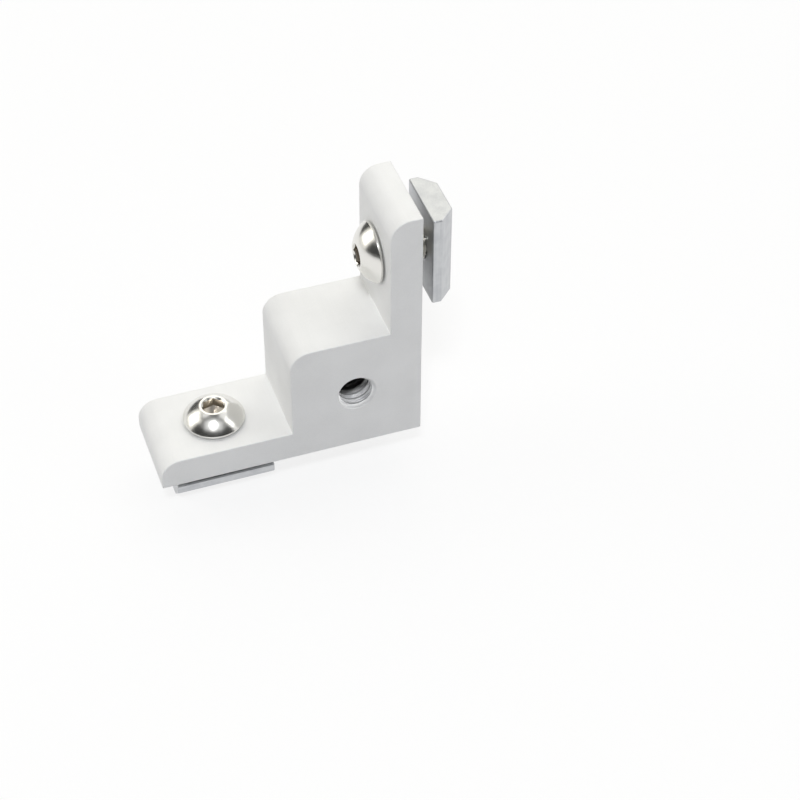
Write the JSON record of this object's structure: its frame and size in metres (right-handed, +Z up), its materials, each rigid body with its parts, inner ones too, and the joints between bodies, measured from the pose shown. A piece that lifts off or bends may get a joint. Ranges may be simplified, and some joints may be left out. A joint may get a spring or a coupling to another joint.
{
  "type": "profile corner bracket",
  "caption": "Inside corner bracket for slotted square profiles: an L with a solid corner block and a tapped cross hole, with its button screws and slot nuts.",
  "frame": {"origin": "middle of the corner edge where the two mounting faces meet", "axes": "+X along the base leg towards the upright, out of the upright's mounting face; +Y across the width; +Z up the upright leg, so the base's mounting face looks along -Z"},
  "size_m": [0.0457, 0.014, 0.0457],
  "materials": {
    "anodised_aluminium": "matte natural anodised",
    "polished_steel": "polished stainless steel",
    "plated_steel": "zinc plated"
  },
  "bodies": {
    "root": {"bracket": "anodised_aluminium", "base_screw": "polished_steel", "upright_screw": "polished_steel", "base_slot_nut": "plated_steel", "upright_slot_nut": "plated_steel"}
  },
  "joints": []
}
